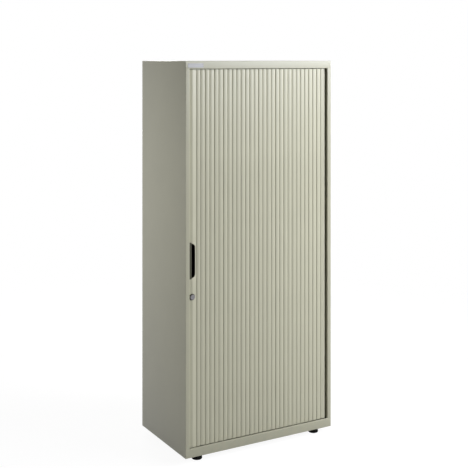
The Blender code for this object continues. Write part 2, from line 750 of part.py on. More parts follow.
def lock(plastic, metal, zinc):
    """The lock: collar, barrel with its keyway, hooked cam and nut, on an empty on the lock's axis."""
    shape = bmesh.new()
    face = COLLAR_REAR - COLLAR_THICKNESS
    profile = [(0, -COLLAR_REAR), (COLLAR_RADIUS, -COLLAR_REAR), (COLLAR_RADIUS, -CREST_Y)]
    profile += [(COLLAR_FACE_RADIUS, -face), (0, -face)]
    add_turned(shape, profile, LOCK_SIDES)
    bmesh.ops.rotate(shape, verts=shape.verts, matrix=Matrix.Rotation(math.pi / 2, 3, "X"))
    collar = new_object("lock_collar", finish(shape, "lock_collar", plastic, True), (LOCK_X, 0, LOCK_HEIGHT))
    hole = bmesh.new()
    add_round_y(hole, HEAD_RADIUS + LOCK_CLEAR, FRONT - OVERRUN, COLLAR_REAR + OVERRUN)
    hole = helper("lock_collar_hole", hole)
    hole.location = (LOCK_X, 0, LOCK_HEIGHT)
    combine(collar, hole, "DIFFERENCE")

    axis = joint_empty("lock_axis", (LOCK_X, 0, LOCK_HEIGHT))
    shape = bmesh.new()
    head = CREST_Y - HEAD_PROUD
    step = CREST_Y + COLLAR_SEAT - CLEAR
    shoulder = LATH_BACK + CAM_GAP / 2
    profile = [(0, -TANG_END), (TANG_RADIUS, -TANG_END), (TANG_RADIUS, -shoulder)]
    profile += [(BODY_RADIUS, -shoulder), (BODY_RADIUS, -step), (HEAD_RADIUS, -step)]
    profile += [(HEAD_RADIUS, -head - CLEAR), (HEAD_RADIUS - CLEAR, -head), (0, -head)]
    add_turned(shape, profile, LOCK_SIDES)
    bmesh.ops.rotate(shape, verts=shape.verts, matrix=Matrix.Rotation(math.pi / 2, 3, "X"))
    barrel = new_object("lock_barrel", finish(shape, "lock_barrel", metal, True), parent=axis)
    keyway = bmesh.new()
    half = (KEYWAY_LENGTH / 2, KEYWAY_WIDTH / 2)
    add_box(keyway, (-half[0], head - OVERRUN, -half[1]), (half[0], head + KEYWAY_DEPTH, half[1]))
    bmesh.ops.rotate(keyway, verts=keyway.verts, matrix=Matrix.Rotation(KEYWAY_ANGLE, 3, "Y"))
    keyway = helper("lock_keyway", keyway)
    keyway.parent = axis
    combine(barrel, keyway, "DIFFERENCE")

    half = CAM_WIDTH / 2
    outline = [(x, z) for x, z in circle(half, LOCK_SIDES) if z >= 0]
    outline += [(-half, -CAM_REACH + CAM_HOOK_WIDTH), (-half - CAM_HOOK, -CAM_REACH + CAM_HOOK_WIDTH)]
    outline += [(-half - CAM_HOOK, -CAM_REACH), (half, -CAM_REACH)]
    shape = bmesh.new()
    add_prism(shape, outline, 1, CAM_FRONT, CAM_REAR)
    cam = new_object("lock_cam", finish(shape, "lock_cam", zinc), parent=axis)
    hole = bmesh.new()
    add_round_y(hole, TANG_RADIUS + LOCK_CLEAR, CAM_FRONT - OVERRUN, CAM_REAR + OVERRUN)
    hole = helper("lock_cam_hole", hole)
    hole.parent = axis
    combine(cam, hole, "DIFFERENCE")

    shape = bmesh.new()
    add_prism(shape, circle(NUT_WIDTH / math.sqrt(3), 6), 1, NUT_FRONT, NUT_FRONT + NUT_HEIGHT)
    nut = new_object("lock_nut", finish(shape, "lock_nut", zinc), parent=axis)
    hole = bmesh.new()
    add_round_y(hole, TANG_RADIUS + LOCK_CLEAR, NUT_FRONT - OVERRUN, NUT_FRONT + OVERRUN)
    hole = helper("lock_nut_hole", hole)
    hole.parent = axis
    combine(nut, hole, "DIFFERENCE")


def striker_plate(zinc):
    """The striker: an angle on the back of the left stile, with a window that the cam's hook enters."""
    half = STRIKER_SHEET / 2
    x = STRIKER_RIGHT - half
    y = STRIKER_FRONT + half
    path = [(STRIKER_RIGHT - STILE_HEM, y), (x, y), (x, STRIKER_FRONT + STRIKER_REACH)]
    low = LOCK_HEIGHT - STRIKER_HALF_HEIGHT
    high = LOCK_HEIGHT + STRIKER_HALF_HEIGHT
    shape = bmesh.new()
    add_prism(shape, folded_outline(path, STRIKER_SHEET, STRIKER_BEND), 2, low, high)
    plate = new_object("striker_plate", finish(shape, "striker_plate", zinc))
    front = CAM_FRONT - STRIKER_WINDOW_SIDE
    rear = CAM_REAR + STRIKER_WINDOW_SIDE
    near = (STRIKER_RIGHT - STRIKER_SHEET - CLEAR, front, LOCK_HEIGHT - STRIKER_WINDOW_BELOW)
    far = (STRIKER_RIGHT + OVERRUN, rear, LOCK_HEIGHT + STRIKER_WINDOW_ABOVE)
    combine(plate, box_helper("striker_window", near, far), "DIFFERENCE")


def slot_heights():
    """Centre heights of the pilasters' slots, which carry the first shelf at one spacing above the floor."""
    first = FLOOR_TOP + SHELF_SPACING - HOOK_DROP
    low = FLOOR_TOP + PILASTER_FOOT_MARGIN
    high = OPENING_TOP - PILASTER_HEAD_GAP - PILASTER_FOOT_MARGIN
    start = first - PILASTER_SLOT_PITCH * math.floor((first - low) / PILASTER_SLOT_PITCH)
    count = math.floor((high - start) / PILASTER_SLOT_PITCH) + 1
    return [start + index * PILASTER_SLOT_PITCH for index in range(count)]


def pilaster_mesh(paint):
    """A slotted channel, its web facing +X at x 0 and its legs behind it, its front edge at y 0."""
    half = PILASTER_SHEET / 2
    near = half
    far = PILASTER_WIDTH - half
    path = [(-PILASTER_DEPTH, near), (-half, near), (-half, far), (-PILASTER_DEPTH, far)]
    shape = bmesh.new()
    low = FLOOR_TOP + CLEAR
    high = OPENING_TOP - PILASTER_HEAD_GAP
    add_prism(shape, folded_outline(path, PILASTER_SHEET), 2, low, high)
    channel = new_object("pilaster", finish(shape, "pilaster", paint))
    slots = bmesh.new()
    side = (PILASTER_WIDTH - PILASTER_SLOT_WIDTH) / 2
    for height in slot_heights():
        base = (-PILASTER_DEPTH / 2, side, height - PILASTER_SLOT_HEIGHT / 2)
        add_box(slots, base, (OVERRUN, side + PILASTER_SLOT_WIDTH, height + PILASTER_SLOT_HEIGHT / 2))
    slots = helper("pilaster_slots", slots)
    combine(channel, slots, "DIFFERENCE")
    mesh = baked_mesh(channel, "pilaster")
    bpy.data.objects.remove(slots)
    return mesh


def pilasters(paint):
    """Two slotted channels on the left side panel and two on the right liner."""
    mesh = pilaster_mesh(paint)
    for row, y in (("front", FRONT_PILASTER_Y), ("rear", REAR_PILASTER_Y)):
        new_object(f"pilaster_left_{row}", mesh, (LEFT_PILASTER_FACE, y, 0))
        new_object(f"pilaster_right_{row}", mesh, (RIGHT_PILASTER_FACE, y + PILASTER_WIDTH, 0), math.pi)


def bearer_mesh(zinc):
    """An angle whose upright leg stands at x 0, its seat at z 0, with a hook for each pilaster."""
    half = BEARER_SHEET / 2
    path = [(half, -BEARER_HEIGHT), (half, -half), (BEARER_SEAT, -half)]
    shape = bmesh.new()
    length = BEARER_REAR - BEARER_FRONT
    add_prism(shape, folded_outline(path, BEARER_SHEET), 1, 0, length)
    bearer = new_object("bearer", finish(shape, "bearer", zinc))
    hooks = bmesh.new()
    reach = CLEAR + PILASTER_SHEET + HOOK_REACH
    drop = HOOK_DROP - SHEET - CLEAR
    for row in (FRONT_PILASTER_Y, REAR_PILASTER_Y):
        middle = row + PILASTER_WIDTH / 2 - BEARER_FRONT
        low = (-reach, middle - HOOK_WIDTH / 2, -drop - HOOK_HEIGHT / 2)
        add_box(hooks, low, (half, middle + HOOK_WIDTH / 2, -drop + HOOK_HEIGHT / 2))
    hooks = helper("bearer_hooks", hooks)
    combine(bearer, hooks, "UNION")
    mesh = baked_mesh(bearer, "bearer")
    bpy.data.objects.remove(hooks)
    return mesh


def mirrored_mesh(mesh, name):
    """A copy of a mesh mirrored in X, still facing out."""
    shape = bmesh.new()
    shape.from_mesh(mesh)
    bmesh.ops.scale(shape, verts=shape.verts, vec=(-1, 1, 1))
    bmesh.ops.reverse_faces(shape, faces=shape.faces)
    made = bpy.data.meshes.new(name)
    shape.to_mesh(made)
    shape.free()
    made.materials.append(mesh.materials[0])
    return made


def shelf_mesh(paint):
    """A folded shelf, its upper face at z 0."""
    half = SHEET / 2
    low = -SHELF_FLANGE + half
    path = [(SHELF_FRONT + SHELF_LIP, low), (SHELF_FRONT + half, low), (SHELF_FRONT + half, -half)]
    path += [(SHELF_REAR - half, -half), (SHELF_REAR - half, low), (SHELF_REAR - SHELF_LIP, low)]
    shape = bmesh.new()
    add_prism(shape, folded_outline(path), 0, SHELF_LEFT, SHELF_RIGHT)
    return finish(shape, "shelf", paint)


def shelves(paint, zinc):
    """The shelves, each on a left and a right bearer."""
    shelf = shelf_mesh(paint)
    left = bearer_mesh(zinc)
    right = mirrored_mesh(left, "bearer_right")
    for index in range(SHELF_COUNT):
        height = FLOOR_TOP + (index + 1) * SHELF_SPACING
        number = index + 1
        new_object(f"shelf_{number}", shelf, (0, 0, height))
        seat = height - SHEET - CLEAR
        new_object(f"shelf_{number}_bearer_left", left, (LEFT_PILASTER_FACE + CLEAR, BEARER_FRONT, seat))
        new_object(f"shelf_{number}_bearer_right", right, (RIGHT_PILASTER_FACE - CLEAR, BEARER_FRONT, seat))


def foot_places():
    """(x, y) of the feet: front left, front right, rear left, rear right."""
    x = WIDTH / 2 - FOOT_SIDE_INSET
    y = DEPTH / 2 - FOOT_END_INSET
    return [(-x, -y), (x, -y), (-x, y), (x, y)]


def feet(plastic, zinc):
    """The levelling feet, each a moulded pad on a threaded stem."""
    shape = bmesh.new()
    socket = STEM_RADIUS + STEM_CLEAR
    seat = PAD_HEIGHT - PAD_SOCKET_DEPTH
    profile = [(0, 0), (PAD_FLOOR_RADIUS, 0), (PAD_RADIUS, PAD_WIDEST_HEIGHT - PAD_RIM)]
    profile += [(PAD_RADIUS, PAD_WIDEST_HEIGHT + PAD_RIM), (PAD_NECK_RADIUS, PAD_HEIGHT)]
    profile += [(socket, PAD_HEIGHT), (socket, seat), (0, seat)]
    add_turned(shape, profile, FOOT_SIDES)
    pad = finish(shape, "foot_pad", plastic, smooth=True)
    shape = bmesh.new()
    add_prism(shape, circle(STEM_RADIUS, STEM_SIDES), 2, STEM_BOTTOM, STEM_BOTTOM + STEM_LENGTH)
    stem = finish(shape, "foot_stem", zinc, smooth=True)
    for place, (x, y) in zip(("front_left", "front_right", "rear_left", "rear_right"), foot_places()):
        axis = joint_empty(f"foot_axis_{place}", (x, y, 0))
        new_object(f"foot_pad_{place}", pad, parent=axis)
        new_object(f"foot_stem_{place}", stem, parent=axis)


def badge_plate(metal):
    """A blank plate at the left end of the top rail."""
    left = LEFT + BADGE_SIDE_INSET
    high = TOP - BADGE_TOP_INSET
    right = left + BADGE_WIDTH
    low = high - BADGE_HEIGHT
    corners = [(left, low), (right, low), (right, high), (left, high)]
    outline = round_corners(corners, [BADGE_CORNER] * len(corners), BEND_STEPS)
    shape = bmesh.new()
    add_prism(shape, outline, 1, FRONT - CLEAR - BADGE_THICKNESS, FRONT - CLEAR)
    new_object("badge_plate", finish(shape, "badge_plate", metal))


def main():
    clear_scene()
    paint = material("warm grey paint", (0.52, 0.51, 0.42), 0.42)
    slat_plastic = material("warm grey slat plastic", (0.52, 0.51, 0.42), 0.45)
    track_plastic = material("dark track plastic", (0.06, 0.06, 0.055), 0.5)
    black_plastic = material("black plastic", (0.012, 0.012, 0.010), 0.45)
    lock_metal = material("polished lock metal", (0.55, 0.54, 0.56), 0.25, 1.0)
    zinc = material("zinc plated steel", (0.60, 0.60, 0.60), 0.35, 1.0)
    badge_metal = material("satin badge metal", (0.45, 0.45, 0.47), 0.35, 1.0)
    side_panel("left_side_panel", -1, paint)
    side_panel("right_side_panel", 1, paint)
    top_panel(paint)
    base_panel(paint)
    back_panel(paint)
    liners(paint)
    guide_tracks(track_plastic)
    curtain(slat_plastic)
    leading_lath(slat_plastic)
    handle_pull(black_plastic)
    lock(black_plastic, lock_metal, zinc)
    striker_plate(zinc)
    pilasters(paint)
    shelves(paint, zinc)
    feet(black_plastic, zinc)
    badge_plate(badge_metal)


main()
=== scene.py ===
"""Looks of the tambour door cabinet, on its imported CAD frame. Metres, +Z up, the front faces -Y."""

import json
import math

import bmesh
import bpy
from mathutils import Matrix, Vector


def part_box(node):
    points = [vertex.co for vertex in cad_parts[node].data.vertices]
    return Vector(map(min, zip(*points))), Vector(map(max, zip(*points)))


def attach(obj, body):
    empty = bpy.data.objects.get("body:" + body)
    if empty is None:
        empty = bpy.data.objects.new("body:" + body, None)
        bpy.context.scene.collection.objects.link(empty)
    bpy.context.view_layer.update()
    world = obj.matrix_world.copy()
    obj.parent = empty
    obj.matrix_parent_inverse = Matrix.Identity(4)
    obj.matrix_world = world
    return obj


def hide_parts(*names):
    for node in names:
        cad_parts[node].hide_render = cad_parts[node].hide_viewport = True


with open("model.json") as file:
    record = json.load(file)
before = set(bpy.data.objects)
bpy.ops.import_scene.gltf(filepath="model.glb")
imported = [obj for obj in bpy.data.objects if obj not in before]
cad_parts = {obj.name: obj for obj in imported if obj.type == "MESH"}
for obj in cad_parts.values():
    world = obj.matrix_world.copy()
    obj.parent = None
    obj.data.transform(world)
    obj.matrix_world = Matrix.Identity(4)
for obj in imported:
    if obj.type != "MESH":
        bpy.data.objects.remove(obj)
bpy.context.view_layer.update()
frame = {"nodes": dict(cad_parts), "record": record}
NODES = frame["nodes"]

# Camera, solved from the cabinet's edges in the photograph
CAMERA_PLACE = (-2.40579, -4.16179, 1.83163)
CAMERA_TURN = -29.8873
CAMERA_LENS = 75.140
CAMERA_SHIFT = -0.375
SENSOR_WIDTH = 36.0

# Angles in degrees over which an edge stays sharp
SHARP = 40.0
SHEET_SHARP = 30.0
CURTAIN_SHARP = 28.0

# Folded sheets
SHEET = 0.001
BEND_RADIUS = 0.0012
BEND_STEPS = 8
SEAM = 0.00005
OVERRUN = 0.010
STILE_DEPTH = 0.018
STILE_HEM = 0.012
REAR_FLANGE = 0.015
TOP_REAR_FLANGE = 0.020
RAIL_LIP = 0.003
BASE_LIP = 0.060
BOSS_WALL = 0.004
BOSS_HEIGHT = 0.012
BOSS_SIDES = 48
STEM_CLEAR = 0.0004

# Slats
SLAT_COUNT = 15
SLAT_DEPTH = 0.0075
SLAT_WALL = 0.0018
RIBS_PER_SLAT = 2
RIB_CROWN = 0.0008
RIB_SHOULDER = 0.0022
RIB_STEPS = 8
GROOVE_WIDTH = 0.0004
GROOVE_DEPTH = 0.0030
EDGE_DEPTH = 0.0048
JOINT_GAP = 0.0012
TAIL_GAP = 0.0025
TONGUE_LENGTH = 0.003
TONGUE_WALL = 0.0015
CORNER_RADIUS = 0.020
STACK_STEP = 0.00003
FOOT_SHOW = 0.0013
HEAD_SHOW = 0.0025

# Guide pins
PIN_RADIUS = 0.0025
PIN_LENGTH = 0.008
PIN_SIDES = 24
LATH_PIN_INSET = 0.006
LUG_LENGTH = 0.008
LUG_HEIGHT = 0.010
LUG_DEPTH = 0.0035
LUG_RISE = 0.0007
PIN_STEP = 0.0003

# Leading lath
LATH_RIDGE = 0.018
LATH_RIDGE_RADIUS = 0.012
LATH_RIDGE_STEPS = 10
LATH_LEFT_FALL = 0.003
LATH_RIGHT_FALL = 0.0026
LATH_RISE = 0.0018
LATH_LAP = 0.002

# Handle
HANDLE_GAP = 0.0002
HANDLE_CORNER = 0.0155
HANDLE_EDGE = 0.001
HANDLE_FILLET = 0.001
HANDLE_WALL = 0.0018
HANDLE_GRIP = 0.014
HANDLE_GRIP_CORNER = 0.005
HANDLE_CUP_STEP = 0.0065
HANDLE_ROUND = 0.0011
HANDLE_ROUND_STEPS = 4
HANDLE_ROUND_ANGLE = 60.0
HANDLE_STEPS = 12

# Lock
LOCK_SIDES = 96
LOCK_GAP = 0.0002
COLLAR_FACE_RADIUS = 0.0128
COLLAR_SEAT = 0.0032
COLLAR_ROUND = 0.0007
MERGE_DISTANCE = 0.000005
HEAD_ROUND = 0.0006
HEAD_SEAT = 0.0029
TANG_RADIUS = 0.004
BODY_RADIUS = 0.009
BODY_END = 0.001
KEYWAY_WIDTH = 0.0022
KEYWAY_LENGTH = 0.010
KEYWAY_DEPTH = 0.006
KEYWAY_ANGLE = 45.0
PLUG_RING = 0.0075
PLUG_RING_WIDTH = 0.0004
PLUG_RING_DEPTH = 0.0004

# Feet
PAD_SIDES = 96
PAD_FLOOR_RADIUS = 0.0225
PAD_NECK_RADIUS = 0.018
PAD_WIDEST_HEIGHT = 0.0045
PAD_RIM = 0.0025
PAD_SOCKET_DEPTH = 0.012
PAD_ROUND = 0.0010
ROUND_STEPS = 5

# Name plate, left blank
PLATE_CORNER = 0.003
PLATE_RIM = 0.0010
PLATE_FIELD_DEPTH = 0.0002

# Finishes
DRIFT_NOISE = {"Detail": 4.0, "Roughness": 0.55}
GRAIN_NOISE = {"Detail": 3.0, "Roughness": 0.6}
RAMP_PLACES = (0.3, 0.7)
GLOSS_SPREAD = 0.06
RELIEF_DEPTH = 0.0004
ALONG_SLAT = (1.0, 1.0, 0.02)
ALONG_PLATE = (0.05, 1.0, 1.0)
PAINT = ((0.458, 0.448, 0.332), (0.478, 0.467, 0.347))

# Stage: where the floor is seen it is near white and fades out. The grey it sends back is painted darker
# close by, as painted shade round the cabinet's foot.
FLOOR_RADIUS = 6.0
FLOOR_DROP = 0.0005
FLOOR_SIDES = 64
FLOOR_GLOW = 0.93
FLOOR_SHOWN = (0.12, 0.12, 0.12, 1)
# Painted shade: the floor's grey close to the cabinet, darker than the floor further out
FLOOR_PAINTED_SHADE = (0.06, 0.06, 0.06, 1)
FLOOR_FAR = (0.50, 0.50, 0.49, 1)
FADE_FROM, FADE_TO = 1.0, 3.6
PAINTED_SHADE_FROM, PAINTED_SHADE_TO = 0.35, 0.85
PAINTED_SHADE_SHAPE = (1.0, 1.7, 1.0)

# Light: each lamp's place, the point it faces, its power, its size and its colour
ROOM = 0.02
ROOM_COLOUR = (1.0, 0.99, 0.97, 1)
WHITE = (1.0, 1.0, 1.0)
COOL = (0.95, 0.985, 1.11)
LAMPS = {
    "key": ((3.6, -2.4, 3.0), (0.1, -0.2, 1.4), 92.0, (1.2, 1.2), WHITE),
    "near_key": ((2.6, -1.2, 2.4), (0.2, -0.2, 1.3), 58.0, (1.0, 0.8), WHITE),
    "sheen": ((2.3, -3.4, 2.2), (0.2, -0.2, 1.4), 71.0, (1.8, 1.2), COOL),
    "low": ((2.6, -1.8, 0.45), (0.0, -0.2, 0.5), 6.0, (1.0, 0.6), WHITE),
    "side": ((-2.0, 0.35, 1.05), (-0.4, 0.0, 1.05), 4.1, (0.8, 0.8), WHITE),
    "side_high": ((-1.6, 0.35, 1.35), (-0.4, 0.0, 1.3), 4.3, (0.6, 0.6), WHITE),
    "rear": ((0.8, 4.0, 1.8), (0.0, 0.2, 1.0), 90.0, (1.5, 1.5), WHITE),
}


def nodes_of(material):
    """A material's empty node tree and its output."""
    material.use_nodes = True
    tree = material.node_tree
    tree.nodes.clear()
    return tree, tree.nodes.new("ShaderNodeOutputMaterial")


def node(tree, kind, **values):
    """A new node; inputs are given by name with spaces as underscores."""
    made = tree.nodes.new(kind)
    for name, value in values.items():
        if hasattr(made, name):
            setattr(made, name, value)
        else:
            made.inputs[name.replace("_", " ")].default_value = value
    return made


def coated(name, dark, light, roughness, grain, bump, stretch=(1.0, 1.0, 1.0), metallic=0.0, cloud=6.0,
           specular=0.5):
    """A procedural finish: slow drift between two colours, and fine grain in relief and in gloss."""
    material = bpy.data.materials.new(name)
    tree, output = nodes_of(material)
    link = tree.links.new
    place = node(tree, "ShaderNodeTexCoord")
    stretched = node(tree, "ShaderNodeMapping")
    stretched.inputs["Scale"].default_value = stretch
    link(place.outputs["Object"], stretched.inputs["Vector"])
    drift = node(tree, "ShaderNodeTexNoise", Scale=cloud, **DRIFT_NOISE)
    link(place.outputs["Object"], drift.inputs["Vector"])
    fine = node(tree, "ShaderNodeTexNoise", Scale=grain, **GRAIN_NOISE)
    link(stretched.outputs["Vector"], fine.inputs["Vector"])
    tone = node(tree, "ShaderNodeValToRGB")
    for element, position, colour in zip(tone.color_ramp.elements, RAMP_PLACES, (dark, light)):
        element.position = position
        element.color = (*colour, 1)
    link(drift.outputs["Fac"], tone.inputs["Fac"])
    gloss = node(tree, "ShaderNodeMapRange", To_Min=roughness - GLOSS_SPREAD, To_Max=roughness + GLOSS_SPREAD)
    link(fine.outputs["Fac"], gloss.inputs["Value"])
    relief = node(tree, "ShaderNodeBump", Strength=bump, Distance=RELIEF_DEPTH)
    link(fine.outputs["Fac"], relief.inputs["Height"])
    shader = node(tree, "ShaderNodeBsdfPrincipled", Metallic=metallic, Specular_IOR_Level=specular)
    link(tone.outputs["Color"], shader.inputs["Base Color"])
    link(gloss.outputs["Result"], shader.inputs["Roughness"])
    link(relief.outputs["Normal"], shader.inputs["Normal"])
    link(shader.outputs["BSDF"], output.inputs["Surface"])
    return material


MATERIAL_OF_SLOT = {
    "paint": coated("powder_coat", *PAINT, 0.31, 900.0, 0.25),
    "inner_paint": coated("powder_coat_inside", *PAINT, 0.36, 900.0, 0.25),
    "slat_plastic": coated("slat_plastic", (0.52, 0.507, 0.378), (0.545, 0.532, 0.398), 0.35, 260.0, 0.12,
                           ALONG_SLAT),
    "track_plastic": coated("track_plastic", (0.05, 0.05, 0.046), (0.065, 0.065, 0.06), 0.5, 500.0, 0.2),
    "black_plastic": coated("handle_plastic", (0.059, 0.058, 0.037), (0.070, 0.069, 0.045), 0.50, 1400.0,
                            0.35, specular=0.2),
    "foot_plastic": coated("foot_plastic", (0.006, 0.006, 0.005), (0.010, 0.010, 0.009), 0.55, 900.0, 0.3,
                           specular=0.05),
    "lock_metal": coated("lock_metal", (0.24, 0.235, 0.245), (0.29, 0.285, 0.295), 0.32, 700.0, 0.08,
                         metallic=1.0),
    "zinc": coated("zinc_plate", (0.50, 0.51, 0.52), (0.66, 0.66, 0.66), 0.36, 300.0, 0.12, metallic=1.0,
                   cloud=60.0),
    "badge_metal": coated("plate_metal", (0.18, 0.18, 0.18), (0.22, 0.22, 0.22), 0.46, 500.0, 0.10,
                          ALONG_PLATE, metallic=1.0),
}


def slot_of(name):
    """The material slot of a CAD node."""
    return next(part["material_slot"] for part in frame["record"]["subparts"] if part["node"] == name)


def body_of(name):
    """The body that carries a CAD node."""
    bodies = frame["record"]["behaviour"]["bodies"]
    return next(body for body, members in bodies.items() if name in members)


def dress_frame():
    """Give each CAD node the finish of its slot."""
    for part in frame["record"]["subparts"]:
        mesh = NODES[part["node"]].data
        mesh.materials.clear()
        mesh.materials.append(MATERIAL_OF_SLOT[part["material_slot"]])


def thing_of(name, shape, sharp=SHARP):
    """An object from a bmesh shape, smooth but for its sharp edges."""
    bmesh.ops.recalc_face_normals(shape, faces=shape.faces)
    mesh = bpy.data.meshes.new(name)
    shape.to_mesh(mesh)
    shape.free()
    mesh.shade_smooth()
    mesh.set_sharp_from_angle(angle=math.radians(sharp))
    thing = bpy.data.objects.new(name, mesh)
    bpy.context.scene.collection.objects.link(thing)
    return thing


def stand_for(thing, cad_node, place=(0, 0, 0), turn=0.0):
    """Show a thing in place of a CAD node, on that node's body and in its finish."""
    thing.data.materials.clear()
    thing.data.materials.append(MATERIAL_OF_SLOT[slot_of(cad_node)])
    thing.location = place
    thing.rotation_euler = (0, 0, turn)
    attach(thing, body_of(cad_node))
    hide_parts(cad_node)


def bevel(thing, width, segments, angle):
    """Round a piece's sharp edges."""
    modifier = thing.modifiers.new("soft edges", "BEVEL")
    modifier.width = width
    modifier.segments = segments
    modifier.limit_method = "ANGLE"
    modifier.angle_limit = math.radians(angle)
    modifier.harden_normals = True


def combine(thing, other, operation="DIFFERENCE", sharp=SHARP):
    """Carry a thing's modifiers out, then cut another from it or join the two."""
    modifier = thing.modifiers.new(operation, "BOOLEAN")
    modifier.operation = operation
    modifier.object = other
    modifier.solver = "EXACT"
    bpy.context.view_layer.update()
    evaluated = thing.evaluated_get(bpy.context.evaluated_depsgraph_get())
    mesh = bpy.data.meshes.new_from_object(evaluated)
    thing.modifiers.clear()
    thing.data = mesh
    mesh.shade_smooth()
    mesh.set_sharp_from_angle(angle=math.radians(sharp))
    bpy.data.objects.remove(other)


def placed(axis, level, first, second):
    """A point at a level along an axis, the other two numbers in their own order."""
    point = [first, second]
    point.insert(axis, level)
    return point


def add_prism(shape, outline, axis, low, high):
    """Add a prism of this outline between two levels along an axis."""
    near, far = [[shape.verts.new(placed(axis, level, *uv)) for uv in outline] for level in (low, high)]
    shape.faces.new(near)
    shape.faces.new(far)
    for index in range(len(outline)):
        after = (index + 1) % len(outline)
        shape.faces.new((near[index], near[after], far[after], far[index]))


def add_box(shape, low, high):
    """Add a box between two corners."""
    outline = [(low[0], low[1]), (high[0], low[1]), (high[0], high[1]), (low[0], high[1])]
    add_prism(shape, outline, 2, low[2], high[2])


def circle(radius, sides, centre=(0, 0)):
    """Points round a circle."""
    angles = [math.tau * step / sides for step in range(sides)]
    return [(centre[0] + radius * math.cos(a), centre[1] + radius * math.sin(a)) for a in angles]


def add_turned(shape, profile, sides, centre, facing_front=False):
    """Add a closed (radius, height) profile turned about Z, or about -Y, through a centre."""
    rings = []
    for radius, height in profile:
        flat = circle(radius, sides) if radius else [(0, 0)]
        rings.append([shape.verts.new((x, y, height)) for x, y in flat])
    for low, high in zip(rings, rings[1:]):
        for index in range(sides):
            after = (index + 1) % sides
            corners = [low[index % len(low)], low[after % len(low)]]
            corners += [high[after % len(high)], high[index % len(high)]]
            shape.faces.new(list(dict.fromkeys(corners)))
    made = [vert for ring in rings for vert in ring]
    if facing_front:
        bmesh.ops.rotate(shape, verts=made, matrix=Matrix.Rotation(math.pi / 2, 3, "X"))
    bmesh.ops.translate(shape, verts=made, vec=centre)


def left_of(direction):
    """The direction a quarter turn to the left of this one."""
    return Vector((-direction.y, direction.x))


def rounded(path, radius, steps):
    """(point, left normal) along a path whose corners are turned into arcs of this radius."""
    points = [Vector(point) for point in path]
    heading = (points[1] - points[0]).normalized()
    found = [(points[0], left_of(heading))]
    for corner, after in zip(points[1:], points[2:]):
        leaving = (after - corner).normalized()
        turn = -heading.angle_signed(leaving)
        start = corner - heading * radius * math.tan(abs(turn) / 2)
        spoke = left_of(heading) * math.copysign(radius, turn)
        for step in range(steps + 1):
            spin = Matrix.Rotation(turn * step / steps, 2)
            found.append((start + spoke - spin @ spoke, left_of(spin @ heading)))
        heading = leaving
    found.append((points[-1], left_of(heading)))
    return found


def round_corners(corners, radii, steps):
    """Outline with each corner rounded by its own radius."""
    outline = []
    for index, corner in enumerate(corners):
        around = [corners[index - 1], corner, corners[(index + 1) % len(corners)]]
        outline += [tuple(point) for point, normal in rounded(around, radii[index], steps)[1:-1]]
    return outline


def rounded_profile(profile, radius, steps):
    """A (radius, height) profile with each inner corner rounded."""
    return [tuple(point) for point, normal in rounded(profile, radius, steps)]


def folded_sheet(name, path, axis, low, high):
    """A sheet folded along a centre line."""
    stations = rounded(path, BEND_RADIUS - SHEET / 2, BEND_STEPS)
    outline = [tuple(point + normal * SHEET / 2) for point, normal in stations]
    outline += [tuple(point - normal * SHEET / 2) for point, normal in reversed(stations)]
    shape = bmesh.new()
    add_prism(shape, outline, axis, low, high)
    return thing_of(name, shape, sharp=SHEET_SHARP)


def box_cutter(low, high):
    """A box to cut with."""
    shape = bmesh.new()
    add_box(shape, low, high)
    return thing_of("cutter", shape)


def make_side_panel(name, cad_node, side):
    """A side panel, its front edge folded into the stile and its rear edge into a flange."""
    low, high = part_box(cad_node)
    width = high.x - low.x
    outer = max(abs(low.x), abs(high.x))
    half = SHEET / 2
    skin = side * (outer - half)
    stile_edge = side * (outer - width + half)
    hem_y = low.y + STILE_DEPTH - half
    path = [(stile_edge + side * STILE_HEM, hem_y), (stile_edge, hem_y), (stile_edge, low.y + half)]
    path += [(skin, low.y + half), (skin, high.y - half), (side * (outer - REAR_FLANGE), high.y - half)]
    panel = folded_sheet(name, path, 2, low.z, high.z)
    near, far = sorted((side * (outer - SHEET), side * (outer - width - OVERRUN)))
    reach = low.y + STILE_DEPTH + OVERRUN
    for floor, ceiling in ((low.z - OVERRUN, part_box("base_panel")[1].z + SEAM),
                           (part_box("top_panel")[0].z - SEAM, high.z + OVERRUN)):
        combine(panel, box_cutter((near, low.y - OVERRUN, floor), (far, reach, ceiling)), sharp=SHEET_SHARP)
    stand_for(panel, cad_node)


def make_top():
    """The top panel, folded down at the front as the top rail."""
    low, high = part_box("top_panel")
    half = SHEET / 2
    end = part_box("right_side_panel")[1].x - SHEET - SEAM
    path = [(low.y + RAIL_LIP, low.z + half), (low.y + half, low.z + half), (low.y + half, high.z - half)]
    path += [(high.y - half, high.z - half), (high.y - half, high.z - TOP_REAR_FLANGE)]
    stand_for(folded_sheet("carcass_top", path, 0, -end, end), "top_panel")


def foot_names():
    """The feet's places, as their nodes name them."""
    return ["front_left", "front_right", "rear_left", "rear_right"]


def middle_of(cad_node):
    """The middle of a node's box."""
    low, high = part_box(cad_node)
    return (low + high) / 2


